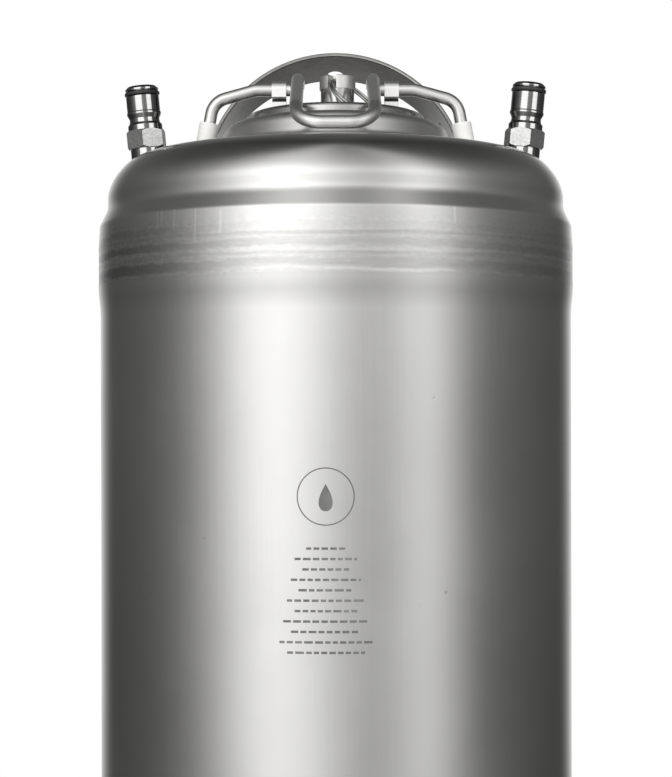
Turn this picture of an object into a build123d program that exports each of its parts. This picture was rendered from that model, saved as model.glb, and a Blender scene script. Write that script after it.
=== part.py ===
"""Ball-lock soda keg, 5 US gallons, as an assembly of its separate pieces.

Millimetres, +Z up. The origin is on the floor under the centre of the keg, -Y is the side that
the lever of the lid bail points to, and +X is the side of the liquid post. Heights on the top
head are counted from the joggle above the upper weld band, through up().
"""

import os
from math import asin, atan2, cos, degrees, radians, sin, sqrt

from build123d import *

os.makedirs("parts", exist_ok=True)

# ---- tank: driving dimensions ----
KEG_RADIUS = 108.0  # outside of the drum, 8.5 in across
SHEET = 1.1  # stainless sheet of the wall and both heads
JOGGLE_Z = 545.0  # height of the joggle above the floor
BAND_RADIUS = 109.0  # planished weld band, a little proud of the drum
BAND_TOP, BAND_BOTTOM = -16.0, -36.0
BAND_BLEND = 16.0  # height over which the drum swells out to the band
SEAM = -25.0  # butt weld between the top head and the wall
SHOULDER_R, SHOULDER_H = 104.0, 2.8  # widest point of the shoulder, above the joggle
KNUCKLE = 19.7  # shoulder rounding
DOME = 620.0  # crown radius of the top head
BOTTOM_SEAM_Z = 56.0
BOTTOM_KNUCKLE, BOTTOM_DOME = 20.0, 300.0
BOTTOM_KNUCKLE_Z = 48.2

# ---- oval neck of the lid opening: half widths along X and Y ----
NECK_X, NECK_Y, NECK_TOP = 52.0, 62.0, 36.5
OPENING_X, OPENING_Y = 44.0, 52.0
NECK_ROUND, NECK_BLEND = 5.2, 3.5
LIP_END = 27.5  # lower edge of the turned-in lip
MOUTH_ROUND = 2.0
NECK_ROOT = 5.0  # the neck's prism starts here, inside the solid dome
NECK_FOOT_LOW, NECK_FOOT_HIGH = 24.0, 27.0  # the neck meets the dome between these heights

# ---- lid ----
LID_X, LID_Y, LID_TOP = 42.0, 50.0, 41.5
LID_SHEET = 1.5
LID_ROUND, PAN_ROUND = 2.4, 0.9
FLANGE_X, FLANGE_Y, FLANGE_Z, FLANGE_T = 49.0, 57.0, 19.5, 1.3
PAN_X, PAN_Y, PAN_DEPTH = 34.0, 42.0, 1.5  # dished middle of the lid
PAN_TOP, UNDER_PAN = LID_TOP - PAN_DEPTH, LID_TOP - PAN_DEPTH - LID_SHEET
LID_RING = 3.2  # radius of the lid O-ring's cord
LID_RING_X, LID_RING_Y = 45.6, 53.6

# ---- bail ----
PIVOT_Z = 54.7
WIRE = 2.9  # radius of the bail wire
LEVER_HALF = 17.0  # from the middle of the lever to the middle of each arm
BAR_Y, BAR_Z = -74.0, 28.6  # corners of the wire's path: the lever's bar,
KNEE_Y, KNEE_Z = -64.0, 37.0  # the bend just above it,
CREST_Y, CREST_Z = -14.0, 57.9  # the highest corner, in front of the pivot,
PIVOT_END = 36.6  # the end of the straight run along the pivot,
LEG_TOP_X, LEG_TOP_Z = 56.36, 49.25  # the top of the leg
LEG_END_X, LEG_END_Z = 60.2, 28.4  # and its foot
WIRE_BENDS = (11, 8, 20, 4.4, 14, 9)
BRACKET_X, BRACKET_WIDTH, STRIP = 26.0, 6.6, 0.95
LOOP_IN, LOOP_OUT = WIRE + 0.08, WIRE + 0.08 + STRIP
STRIP_END_LOW, STRIP_END_HIGH, STRIP_ROUND = 48.8, 50.7, 0.35  # the gap between the strip's ends
STRIP_END_MIDDLE = (STRIP_END_LOW + STRIP_END_HIGH) / 2
TAIL_REACH, TAIL_RISE = 6.0, 2.0  # the strip's tail, welded to the lid
CAP_RADIUS, CAP_TOP, CAP_BOTTOM = 4.6, 39.2, 26.2
CAP_ROUND, CAP_EDGE = 3.5, 0.5

# ---- relief valve ----
RELIEF_X = 1.0  # the valve stands slightly off the middle of the lid
SLOT_TURN = 18.0  # the slot of the cap is turned this far from the front
RING_TURN = 36.0  # the ring lies askew in its hole
RELIEF_R, CAP_R = 7.75, 8.3
CAP_BASE, CAP_HEIGHT = 54.4, 6.2
SLOT = 4.0
RING_HOLE_Z, RING_HOLE_R = 58.6, 1.5
RING_WIRE, RING_MEAN = 0.62, 12.4
RING_TURNS_APART = 1.15  # between the middles of the ring's two turns
BLADE = 1.6  # thickness of the stem's eye
VALVE_FOOT, SEAT = 29.0, 31.5
SHANK_R, VALVE_BORE, SEAT_BORE = 6.0, 5.0, 2.2
GASKET_R, GASKET_T, NUT_AF, NUT_H = 9.0, 1.5, 19.0, 4.5
PLUG_DEPTH, STEM_HOLE, CAP_EDGE_ROUND = 4.0, 1.9, 0.6
VALVE_DISC_R, VALVE_SEAL_R, VALVE_SEAL_T, VALVE_DISC_T = 4.4, 4.0, 2.0, 1.4
VALVE_STEM_R, EYE_RISE = 1.5, 2.5
VALVE_WIRE, VALVE_COIL_R, VALVE_TURNS, VALVE_GAP = 0.45, 3.3, 6, 0.05
RING_FLARE = (
    (1.0, 1.6),
    (2.0, 1.7),
    (3.5, 3.9),
    (5.0, 5.5),
    (6.6, 6.9),
    (8.4, 8.4),
    (1.0, 9.0),
)  # the slot's flare behind, on the side of the ring
RING_DROOP = 44.5  # the ring hangs this far below level, resting on the lid

# ---- posts ----
POST_X, POST_Z, POST_LEAN = 87.0, 27.5, 5.4
HEX_AF, HEX_H = 16.4, 8.4
HEX_EDGE = 0.9  # height of the chamfers on the hex
HEX_CORNER = HEX_AF / sqrt(3)
GAS_HEX_TURN, LIQUID_HEX_TURN = 25.0, 42.0
COLLAR_R, COLLAR_TOP = 7.95, 10.8
GROOVE_R, BARREL_R, BARREL_LIP_R = 6.9, 7.65, 7.9
GROOVE_LOW, GROOVE_HIGH = 13.2, 13.9  # the locking groove's floor
LIP_LOW, LIP_TOP = 15.9, 16.6
RING_GROOVE_R, BARREL_RING = 6.0, 1.05  # floor of the O-ring's groove, and the ring's cord
RING_GROOVE_W, POST_CAP = 2.8, 1.9  # the O-ring's groove, and the land above it
GAS_POST_TOP, LIQUID_POST_TOP = 28.8, 30.0  # the liquid post is the taller one
POST_RING = 0.95  # cord of the dip tube's O-ring
POST_BORE, POST_MOUTH, THREAD_BORE = 4.8, 3.3, 7.1
THREAD_RELIEF, POST_WALL = 3.1, 1.6  # room above the stub, and the metal round the mouth
POST_EDGE = 1.1  # chamfer round the top of a post
NECK_R, THREAD_R, NECK_BORE = 7.75, 7.0, 4.4
NECK_FOOT, NECK_LAND = -11.0, -0.3  # ends of the stub's thick part
PORT_CUT = 19.0  # reach of the port holes through the dome
NECK_RIM = 6.2  # top of the threaded stub, above the underside of the hex
TUBE_R, TUBE_BORE = 3.96, 3.2
TUBE_FLANGE_R, TUBE_FLANGE_T = 6.4, 1.1
GAS_TUBE_END = -50.0  # the short gas tube ends under the dome
LIQUID_ELBOW, ELBOW_RADIUS = -485.0, 60.0
LIQUID_FOOT = (-24.0, 0, -44.0)  # the liquid tube's last run, in to the low point of the tank

# ---- poppets, heights above the disc's underside ----
DISC_BELOW_TOP, DISC_R, DISC_T = 6.0, 4.5, 1.4
STEM_R, STEM_TAIL, STEM_SHOULDER = 2.2, 5.0, 3.9
PIN_R, PIN_BELOW_TOP = 1.1, 0.5
SEAL_EDGE_TOP, SEAL_TOP, SEAL_TOP_R = 3.0, 3.8, 3.0
COIL_WIRE, COIL_R, COIL_TURNS, COIL_GAP = 0.35, 3.6, 6, 0.05

# ---- carry handle ----
HANDLE_W, HANDLE_T = 25.0, 1.9
HANDLE_A, HANDLE_B = 61.1, 65.8  # half span and rise of the arch, in its own plane
HANDLE_LEAN = 18.4
HANDLE_EDGE_Y, HANDLE_CREST = 28.0, 77.3  # crest of the near edge
HANDLE_EDGE_ROUND = 0.6
HANG_HOLE_R, HANG_HOLE_IN = 4.0, 19.1  # hole through the crest, its centre in from the near edge
LIMB_TURN, LIMB_SLOT_IN = 59.0, 13.5  # the small slot: turn from the crest, centre from the edge
LIMB_SLOT_LENGTH, LIMB_SLOT_WIDTH = 5.0, 2.6

# ---- boot ----
BOOT_R, BOOT_HEIGHT, BOOT_WALL = 111.0, 82.0, 2.6
BOOT_FOOT = 15.0  # width of the ring that stands on the floor
BOOT_LEDGE, BOOT_RECESS = 26.0, 6.0  # height of the ledge inside, and its set-back
BOOT_TOP_ROUND, BOOT_FOOT_ROUND = 1.2, 2.5
NOTCH_LENGTH, NOTCH_WIDTH, NOTCH_DEPTH = 30.0, 12.0, 4.0  # four drain notches under the foot


def up(height):
    """Height above the floor of a point given from the joggle."""
    return JOGGLE_Z + height


def save(piece, name):
    """Labels a finished piece and writes its file."""
    piece.part.label = name
    export_step(piece.part, f"parts/{name}.step")
    print(name, round(piece.part.volume), len(piece.part.solids()), piece.part.is_valid)


def swell(start, drop, step, inset):
    """Two tangent arcs that lead a vertical outline down by drop and out by step."""
    radius = (drop**2 + step**2) / (4 * abs(step))
    turn = 2 * degrees(atan2(abs(step), drop))
    side = 1 if step > 0 else -1
    first = JernArc(start, (0, -1), radius + side * inset, side * turn)
    return JernArc(first @ 1, first % 1, radius - side * inset, -side * turn)


def top_head_outline(inset):
    """Edges of half the top head's section, solid to the axis, inset from the outside."""
    reach = DOME - KNUCKLE
    knuckle_x = SHOULDER_R - KNUCKLE
    tilt = degrees(asin(knuckle_x / reach))
    dome_z = up(SHOULDER_H) - sqrt(reach**2 - knuckle_x**2)
    with BuildLine() as outline:
        crown = CenterArc((0, dome_z), DOME - inset, 90, -tilt)
        CenterArc((knuckle_x, up(SHOULDER_H)), KNUCKLE - inset, 90 - tilt, tilt - 90)
        side = swell(
            (SHOULDER_R - inset, up(SHOULDER_H)),
            SHOULDER_H - BAND_TOP,
            BAND_RADIUS - SHOULDER_R,
            inset,
        )
        Polyline(side @ 1, (BAND_RADIUS - inset, up(SEAM)), (0, up(SEAM)), crown @ 0)
    return outline.edges()


def bottom_head_outline(inset):
    """Edges of half the bottom head's section, solid to the axis."""
    reach = BOTTOM_DOME - BOTTOM_KNUCKLE
    knuckle_x = KEG_RADIUS - BOTTOM_KNUCKLE
    tilt = degrees(asin(knuckle_x / reach))
    dome_z = BOTTOM_KNUCKLE_Z + sqrt(reach**2 - knuckle_x**2)
    with BuildLine() as outline:
        crown = CenterArc((0, dome_z), BOTTOM_DOME - inset, -90, tilt)
        CenterArc((knuckle_x, BOTTOM_KNUCKLE_Z), BOTTOM_KNUCKLE - inset, tilt - 90, 90 - tilt)
        Polyline(
            (KEG_RADIUS - inset, BOTTOM_KNUCKLE_Z),
            (KEG_RADIUS - inset, BOTTOM_SEAM_Z),
            (0, BOTTOM_SEAM_Z),
            crown @ 0,
        )
    return outline.edges()


def oval(x, y, low, high):
    """Upright elliptical prism centred on the keg's axis, between two heights."""
    with BuildPart() as prism:
        with BuildSketch(Plane.XY.offset(low)):
            Ellipse(x, y)
        extrude(amount=high - low)
    return prism.part


def port_plane(side, height=0.0):
    """Plane across a post's axis, height above the underside of its hex."""
    lean = radians(POST_LEAN)
    axis = Vector(side * sin(lean), 0, cos(lean))
    foot = Vector(side * POST_X, 0, up(POST_Z))
    return Plane(origin=foot + axis * height, x_dir=(cos(lean), 0, -side * sin(lean)), z_dir=axis)


def port_section(side):
    """Plane through a post's axis: x is the radius and y the height above the hex's underside."""
    across = port_plane(side)
    return Plane(origin=across.origin, x_dir=across.x_dir, z_dir=-across.y_dir)


def port_axis(side):
    across = port_plane(side)
    return Axis(across.origin, across.z_dir)


# ---------------------------------------------------------------- tank
with BuildPart() as head_void:
    with BuildSketch(Plane.XZ):
        make_face(top_head_outline(SHEET))
    revolve(axis=Axis.Z)
    add(oval(NECK_X - SHEET, NECK_Y - SHEET, up(NECK_ROOT), up(NECK_TOP - SHEET)))
    rim = head_void.edges().sort_by(Axis.Z)[-1]
    fillet(rim, NECK_ROUND - SHEET)

with BuildPart() as top_head:
    with BuildSketch(Plane.XZ):
        make_face(top_head_outline(0))
    revolve(axis=Axis.Z)
    add(oval(NECK_X, NECK_Y, up(NECK_ROOT), up(NECK_TOP)))
    rim = top_head.edges().sort_by(Axis.Z)[-1]
    foot = top_head.edges().filter_by(
        lambda e: up(NECK_FOOT_LOW) < e.center().Z < up(NECK_FOOT_HIGH) and e.length > 2 * NECK_X
    )
    fillet(rim, NECK_ROUND)
    fillet(foot, NECK_BLEND)
    add(head_void.part, mode=Mode.SUBTRACT)
    add(oval(OPENING_X + SHEET, OPENING_Y + SHEET, up(LIP_END), up(NECK_TOP)))
    add(oval(OPENING_X, OPENING_Y, up(NECK_ROOT), up(NECK_TOP + SHEET)), mode=Mode.SUBTRACT)
    mouth = top_head.edges().filter_by(lambda e: abs(e.center().Z - up(NECK_TOP)) < 0.01)
    fillet(mouth.sort_by(SortBy.LENGTH)[0], MOUTH_ROUND)
    for side in (-1, 1):
        with BuildSketch(port_plane(side)):
            Circle(NECK_R)
        extrude(amount=PORT_CUT, both=True, mode=Mode.SUBTRACT)
save(top_head, "top_head")

with BuildPart() as tank_wall:
    with BuildSketch(Plane.XZ):
        with BuildLine():
            outer = Line((BAND_RADIUS, up(SEAM)), (BAND_RADIUS, up(BAND_BOTTOM)))
            outside = swell(outer @ 1, BAND_BLEND, KEG_RADIUS - BAND_RADIUS, 0)
            inner = Line((BAND_RADIUS - SHEET, up(SEAM)), (BAND_RADIUS - SHEET, up(BAND_BOTTOM)))
            inside = swell(inner @ 1, BAND_BLEND, KEG_RADIUS - BAND_RADIUS, SHEET)
            Polyline(
                outside @ 1,
                (KEG_RADIUS, BOTTOM_SEAM_Z),
                (KEG_RADIUS - SHEET, BOTTOM_SEAM_Z),
                inside @ 1,
            )
            Line(inner @ 0, outer @ 0)
        make_face()
    revolve(axis=Axis.Z)
save(tank_wall, "tank_wall")

with BuildPart() as bottom_head:
    with BuildSketch(Plane.XZ):
        make_face(bottom_head_outline(0))
    with BuildSketch(Plane.XZ, mode=Mode.PRIVATE) as bottom_void:
        make_face(bottom_head_outline(SHEET))
    revolve(axis=Axis.Z)
    revolve(bottom_void.sketch, axis=Axis.Z, mode=Mode.SUBTRACT)
save(bottom_head, "bottom_head")

# The boot grips the lower drum, and its foot ring carries the bottom head's knuckle.
with BuildPart() as rubber_boot:
    with BuildSketch(Plane.XZ):
        with BuildLine():
            Polyline(
                (BOOT_R - BOOT_FOOT, 0),
                (BOOT_R, 0),
                (KEG_RADIUS + BOOT_WALL, BOOT_HEIGHT),
                (0, BOOT_HEIGHT),
                (0, BOOT_LEDGE),
                (BOOT_R - BOOT_FOOT - BOOT_RECESS, BOOT_LEDGE),
                (BOOT_R - BOOT_FOOT, 0),
            )
        make_face()
    revolve(axis=Axis.Z)
    with BuildSketch(Plane.XZ):
        make_face(bottom_head_outline(0))
    revolve(axis=Axis.Z, mode=Mode.SUBTRACT)
    with BuildSketch(Plane.XY.offset(BOTTOM_SEAM_Z)):
        Circle(KEG_RADIUS)
    extrude(amount=BOOT_HEIGHT, mode=Mode.SUBTRACT)
    with BuildSketch(Plane.XY):
        Circle(BOOT_R - BOOT_FOOT - BOOT_RECESS)
    extrude(amount=BOTTOM_SEAM_Z, mode=Mode.SUBTRACT)
    rims = rubber_boot.edges().filter_by(GeomType.CIRCLE).filter_by(lambda e: e.radius > KEG_RADIUS + 1)
    fillet(rims.sort_by(Axis.Z)[-1], BOOT_TOP_ROUND)
    fillet(rims.sort_by(Axis.Z)[0], BOOT_FOOT_ROUND)
    with BuildSketch(Plane.XY):
        with PolarLocations(BOOT_R - BOOT_FOOT / 2, 4, start_angle=45):
            Rectangle(NOTCH_LENGTH, NOTCH_WIDTH)
    extrude(amount=NOTCH_DEPTH, mode=Mode.SUBTRACT)
save(rubber_boot, "rubber_boot")

# ---------------------------------------------------------------- carry handle
lean = radians(HANDLE_LEAN)
arch_centre = (
    0,
    HANDLE_EDGE_Y - HANDLE_B * sin(lean),
    up(HANDLE_CREST) - HANDLE_B * cos(lean),
)
arch_plane = Plane(origin=arch_centre, x_dir=(1, 0, 0), z_dir=(0, -cos(lean), sin(lean)))
with BuildPart() as carry_handle:
    with BuildSketch(arch_plane):
        Ellipse(HANDLE_A, HANDLE_B)
        Ellipse(HANDLE_A - HANDLE_T, HANDLE_B - HANDLE_T, mode=Mode.SUBTRACT)
        with Locations((0, -HANDLE_B / 2)):
            Rectangle(3 * HANDLE_A, HANDLE_B, mode=Mode.SUBTRACT)
    extrude(amount=-HANDLE_W)
    fillet(carry_handle.edges().filter_by(GeomType.ELLIPSE), HANDLE_EDGE_ROUND)
    with BuildSketch(Plane.XZ):
        make_face(top_head_outline(0))
    revolve(axis=Axis.Z, mode=Mode.SUBTRACT)
    crest = Plane(
        origin=(0, HANDLE_EDGE_Y, up(HANDLE_CREST)),
        x_dir=(1, 0, 0),
        z_dir=(0, sin(lean), cos(lean)),
    )
    with BuildSketch(crest):
        with Locations((0, HANG_HOLE_IN)):
            Circle(HANG_HOLE_R)
    extrude(amount=-3 * HANDLE_T, mode=Mode.SUBTRACT)
    limb_turn = radians(LIMB_TURN)
    limb = Plane(
        origin=arch_plane.from_local_coords(
            (HANDLE_A * sin(limb_turn), HANDLE_B * cos(limb_turn), -LIMB_SLOT_IN)
        ),
        x_dir=(0, cos(lean), -sin(lean)),
        z_dir=arch_plane.from_local_coords((sin(limb_turn), cos(limb_turn), 0))
        - arch_plane.origin,
    )
    with BuildSketch(limb):
        SlotOverall(LIMB_SLOT_LENGTH, LIMB_SLOT_WIDTH, rotation=90)
    extrude(amount=3 * HANDLE_T, both=True, mode=Mode.SUBTRACT)
save(carry_handle, "carry_handle")

# ---------------------------------------------------------------- ports and posts
for side, port, post_top, hex_turn in (
    (-1, "gas", GAS_POST_TOP, GAS_HEX_TURN),
    (1, "liquid", LIQUID_POST_TOP, LIQUID_HEX_TURN),
):
    cap_land = post_top - POST_CAP
    barrel_top = cap_land - RING_GROOVE_W
    section = port_section(side)
    axis = port_axis(side)

    with BuildPart() as port_neck:
        with BuildSketch(section):
            with BuildLine():
                Polyline(
                    (NECK_BORE, NECK_FOOT),
                    (NECK_R, NECK_FOOT),
                    (NECK_R, NECK_LAND),
                    (THREAD_R, NECK_LAND),
                    (THREAD_R, NECK_RIM),
                    (NECK_BORE, NECK_RIM),
                    close=True,
                )
            make_face()
        revolve(axis=axis)
    save(port_neck, f"{port}_port_neck")

    with BuildPart() as post_body:
        with BuildSketch(port_plane(side)):
            RegularPolygon(HEX_AF / 2, 6, major_radius=False, rotation=hex_turn)
        extrude(amount=HEX_H)
        with BuildSketch(section):
            with BuildLine():
                Polyline(
                    (0, 0),
                    (HEX_AF / 2 + 0.3, 0),
                    (HEX_CORNER, HEX_EDGE),
                    (HEX_CORNER, HEX_H - HEX_EDGE),
                    (HEX_AF / 2 + 0.2, HEX_H),
                    (0, HEX_H),
                    close=True,
                )
            make_face()
        revolve(axis=axis, mode=Mode.INTERSECT)
        with BuildSketch(section):
            with BuildLine():
                Polyline(
                    (0, HEX_H - HEX_EDGE),
                    (COLLAR_R, HEX_H - HEX_EDGE),
                    (COLLAR_R, COLLAR_TOP),
                    (GROOVE_R + 0.2, COLLAR_TOP + 1.2),
                    (GROOVE_R, GROOVE_LOW),
                    (GROOVE_R, GROOVE_HIGH),
                    (BARREL_LIP_R, LIP_LOW),
                    (BARREL_LIP_R, LIP_TOP),
                    (BARREL_R, LIP_TOP + 0.6),
                    (BARREL_R, barrel_top),
                    (RING_GROOVE_R, barrel_top),
                    (RING_GROOVE_R, cap_land),
                    (BARREL_R, cap_land),
                    (BARREL_R, post_top - POST_EDGE),
                    (BARREL_R - POST_EDGE, post_top),
                    (0, post_top),
                    close=True,
                )
            make_face()
        revolve(axis=axis)
        with BuildSketch(section):
            with BuildLine():
                Polyline(
                    (0, -1),
                    (THREAD_BORE, -1),
                    (THREAD_BORE, NECK_RIM + THREAD_RELIEF),
                    (POST_BORE, NECK_RIM + THREAD_RELIEF),
                    (POST_BORE, post_top - POST_WALL - 1),
                    (POST_MOUTH, post_top - POST_WALL),
                    (POST_MOUTH, post_top + 1),
                    (0, post_top + 1),
                    close=True,
                )
            make_face()
        revolve(axis=axis, mode=Mode.SUBTRACT)
    save(post_body, f"{port}_post_body")

    with BuildPart() as post_o_ring:
        with BuildSketch(section):
            with Locations((RING_GROOVE_R + BARREL_RING + 0.02, (barrel_top + cap_land) / 2)):
                Circle(BARREL_RING)
        revolve(axis=axis)
    save(post_o_ring, f"{port}_post_o_ring")

    with BuildPart() as dip_tube_o_ring:
        with BuildSketch(section):
            with Locations((TUBE_R + POST_RING + 0.02, NECK_RIM + POST_RING)):
                Circle(POST_RING)
        revolve(axis=axis)
    save(dip_tube_o_ring, f"{port}_dip_tube_o_ring")

    # The short gas tube ends under the dome; the liquid tube bends to the low point of the tank.
    flange_low = NECK_RIM + 2 * POST_RING
    flange_top = flange_low + TUBE_FLANGE_T
    start = port_plane(side, flange_top)
    if side < 0:
        tube_points = [start.origin, port_plane(side, GAS_TUBE_END).origin]
    else:
        elbow = port_plane(side, LIQUID_ELBOW).origin
        tube_points = [start.origin, elbow, elbow + Vector(*LIQUID_FOOT)]
    with BuildPart() as dip_tube:
        with BuildLine() as route:
            if side < 0:
                Line(*tube_points)
            else:
                FilletPolyline(*tube_points, radius=ELBOW_RADIUS)
        with BuildSketch(Plane(origin=tube_points[0], z_dir=-start.z_dir)):
            Circle(TUBE_R)
            Circle(TUBE_BORE, mode=Mode.SUBTRACT)
        sweep(path=route.wire())
        with BuildSketch(port_plane(side, flange_low)):
            Circle(TUBE_FLANGE_R)
            Circle(TUBE_BORE, mode=Mode.SUBTRACT)
        extrude(amount=flange_top - flange_low)
    save(dip_tube, f"{port}_dip_tube")

    disc_low = post_top - DISC_BELOW_TOP
    disc_top = disc_low + DISC_T
    with BuildPart() as poppet:
        with BuildSketch(section):
            with BuildLine():
                Polyline(
                    (0, disc_low - STEM_TAIL),
                    (STEM_R, disc_low - STEM_TAIL),
                    (STEM_R, disc_low),
                    (DISC_R, disc_low),
                    (DISC_R, disc_top),
                    (STEM_R, disc_top),
                    (STEM_R, disc_low + STEM_SHOULDER),
                    (PIN_R, disc_low + STEM_SHOULDER + 0.5),
                    (PIN_R, post_top - PIN_BELOW_TOP),
                    (0, post_top - PIN_BELOW_TOP),
                    close=True,
                )
            make_face()
        revolve(axis=axis)
    save(poppet, f"{port}_poppet")

    with BuildPart() as poppet_seal:
        with BuildSketch(section):
            with BuildLine():
                Polyline(
                    (STEM_R, disc_top),
                    (DISC_R, disc_top),
                    (DISC_R, disc_low + SEAL_EDGE_TOP),
                    (SEAL_TOP_R, disc_low + SEAL_TOP),
                    (STEM_R, disc_low + SEAL_TOP),
                    close=True,
                )
            make_face()
        revolve(axis=axis)
    save(poppet_seal, f"{port}_poppet_seal")

    coil_low = flange_top + COIL_WIRE + COIL_GAP
    coil_height = disc_low - COIL_WIRE - COIL_GAP - coil_low
    coil = port_plane(side, coil_low)
    with BuildPart() as poppet_spring:
        with BuildLine() as turns:
            Helix(
                coil_height / COIL_TURNS,
                coil_height,
                COIL_R,
                center=coil.origin,
                direction=coil.z_dir,
            )
        with BuildSketch(Plane(origin=turns.wire() @ 0, z_dir=turns.wire() % 0)):
            Circle(COIL_WIRE)
        sweep(path=turns.wire(), is_frenet=True)
    save(poppet_spring, f"{port}_poppet_spring")

# ---------------------------------------------------------------- lid
with BuildPart() as lid_plate:
    add(oval(LID_X, LID_Y, up(FLANGE_Z), up(LID_TOP)))
    fillet(lid_plate.edges().sort_by(Axis.Z)[-1], LID_ROUND)
    add(oval(FLANGE_X, FLANGE_Y, up(FLANGE_Z), up(FLANGE_Z + FLANGE_T)))
    add(oval(PAN_X, PAN_Y, up(PAN_TOP), up(LID_TOP + 1)), mode=Mode.SUBTRACT)
    pan_edge = lid_plate.edges().filter_by(lambda e: abs(e.center().Z - up(LID_TOP)) < 0.01)
    fillet(pan_edge.sort_by(SortBy.LENGTH)[0], PAN_ROUND)
    hollow = oval(LID_X - LID_SHEET, LID_Y - LID_SHEET, up(FLANGE_Z - 1), up(UNDER_PAN))
    add(hollow, mode=Mode.SUBTRACT)
    with BuildSketch(Plane.XY.offset(up(UNDER_PAN))):
        Ellipse(LID_X - LID_SHEET - 0.6, LID_Y - LID_SHEET - 0.6)
        Ellipse(PAN_X + LID_SHEET, PAN_Y + LID_SHEET, mode=Mode.SUBTRACT)
    extrude(amount=PAN_DEPTH, mode=Mode.SUBTRACT)
    with BuildSketch(Plane.XY.offset(up(LID_TOP))):
        with Locations((RELIEF_X, 0)):
            Circle(SHANK_R + 0.05)
    extrude(amount=-10, mode=Mode.SUBTRACT)
save(lid_plate, "lid_plate")

with BuildPart() as lid_o_ring:
    with BuildLine(Plane.XY.offset(up(FLANGE_Z + FLANGE_T + LID_RING))) as loop:
        EllipticalCenterArc((0, 0), LID_RING_X, LID_RING_Y, arc_size=360)
    with BuildSketch(Plane(origin=loop.wire() @ 0, z_dir=loop.wire() % 0)):
        Circle(LID_RING)
    sweep(path=loop.wire())
save(lid_o_ring, "lid_o_ring")

# Each bracket is one strip: up the front, a gap, round over the wire, down the back, under the front.
for side, hand in ((-1, "left"), (1, "right")):
    middle = Plane(origin=(side * BRACKET_X, 0, up(0)), x_dir=(0, 1, 0), z_dir=(1, 0, 0))
    with BuildPart() as bail_bracket:
        with BuildSketch(middle):
            with BuildLine():
                top = CenterArc((0, PIVOT_Z), LOOP_OUT, 0, 180)
                under = CenterArc((0, PIVOT_Z), LOOP_IN, 0, 180)
                Polyline(
                    top @ 1,
                    (-LOOP_OUT, STRIP_END_HIGH),
                    (-LOOP_IN, STRIP_END_HIGH),
                    under @ 1,
                )
                Polyline(
                    top @ 0,
                    (LOOP_OUT, PAN_TOP + TAIL_RISE),
                    (LOOP_OUT + TAIL_REACH, PAN_TOP + STRIP),
                    (LOOP_OUT + TAIL_REACH, PAN_TOP),
                    (-LOOP_OUT, PAN_TOP),
                    (-LOOP_OUT, STRIP_END_LOW),
                    (-LOOP_IN, STRIP_END_LOW),
                    (-LOOP_IN, PAN_TOP + STRIP),
                    (LOOP_IN, PAN_TOP + STRIP),
                    under @ 0,
                )
            make_face()
        extrude(amount=BRACKET_WIDTH / 2, both=True)
        ends = bail_bracket.edges().filter_by(Axis.X).filter_by(
            lambda e: e.center().Y < -1 and abs(e.center().Z - up(STRIP_END_MIDDLE)) < 2 * STRIP
        )
        fillet(ends, STRIP_ROUND)
    save(bail_bracket, f"{hand}_bail_bracket")

# ---------------------------------------------------------------- bail
# Half of the wire, from the middle of the lever's bar to the end of a leg.
LEG_TOP = Vector(LEG_TOP_X, 0, up(LEG_TOP_Z))
LEG_END = Vector(LEG_END_X, 0, up(LEG_END_Z))
half_wire = [
    Vector(0, BAR_Y, up(BAR_Z)),
    Vector(LEVER_HALF, BAR_Y, up(BAR_Z)),
    Vector(LEVER_HALF, KNEE_Y, up(KNEE_Z)),
    Vector(LEVER_HALF, CREST_Y, up(CREST_Z)),
    Vector(LEVER_HALF, 0, up(PIVOT_Z)),
    Vector(PIVOT_END, 0, up(PIVOT_Z)),
    LEG_TOP,
    LEG_END,
]
with BuildPart() as bail_wire:
    with BuildLine() as route:
        FilletPolyline(*half_wire, radius=WIRE_BENDS)
    with BuildSketch(Plane(origin=half_wire[0], z_dir=(1, 0, 0))):
        Circle(WIRE)
    sweep(path=route.wire())
    mirror(about=Plane.YZ)
save(bail_wire, "bail_wire")

leg = (LEG_END - LEG_TOP).normalized()
for side, hand in ((-1, "left"), (1, "right")):
    down = Vector(side * leg.X, 0, leg.Z)
    end = Vector(side * LEG_END.X, 0, LEG_END.Z)
    bottom = end + down * ((LEG_END.Z - up(CAP_BOTTOM)) / -leg.Z)
    length = (CAP_TOP - CAP_BOTTOM) / -leg.Z
    with BuildPart() as foot_cap:
        with BuildSketch(Plane(origin=bottom, z_dir=-down)):
            Circle(CAP_RADIUS)
        extrude(amount=length)
        fillet(foot_cap.edges().sort_by(Axis.Z)[0], CAP_ROUND)
        fillet(foot_cap.edges().sort_by(Axis.Z)[-1], CAP_EDGE)
        with BuildSketch(Plane(origin=end, z_dir=-down)):
            Circle(WIRE)
        extrude(amount=length, mode=Mode.SUBTRACT)
    save(foot_cap, f"{hand}_foot_cap")

# ---------------------------------------------------------------- relief valve
valve_axis = Axis((RELIEF_X, 0, 0), (0, 0, 1))
valve_section = Plane(origin=(RELIEF_X, 0, up(0)), x_dir=(1, 0, 0), z_dir=(0, -1, 0))
with BuildPart() as relief_valve_body:
    with BuildSketch(valve_section):
        with BuildLine():
            Polyline(
                (SEAT_BORE, VALVE_FOOT),
                (SHANK_R, VALVE_FOOT),
                (SHANK_R, PAN_TOP),
                (RELIEF_R, PAN_TOP),
                (RELIEF_R, CAP_BASE),
                (VALVE_BORE, CAP_BASE),
                (VALVE_BORE, SEAT),
                (SEAT_BORE, SEAT),
                close=True,
            )
        make_face()
    revolve(axis=valve_axis)
save(relief_valve_body, "relief_valve_body")

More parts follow.
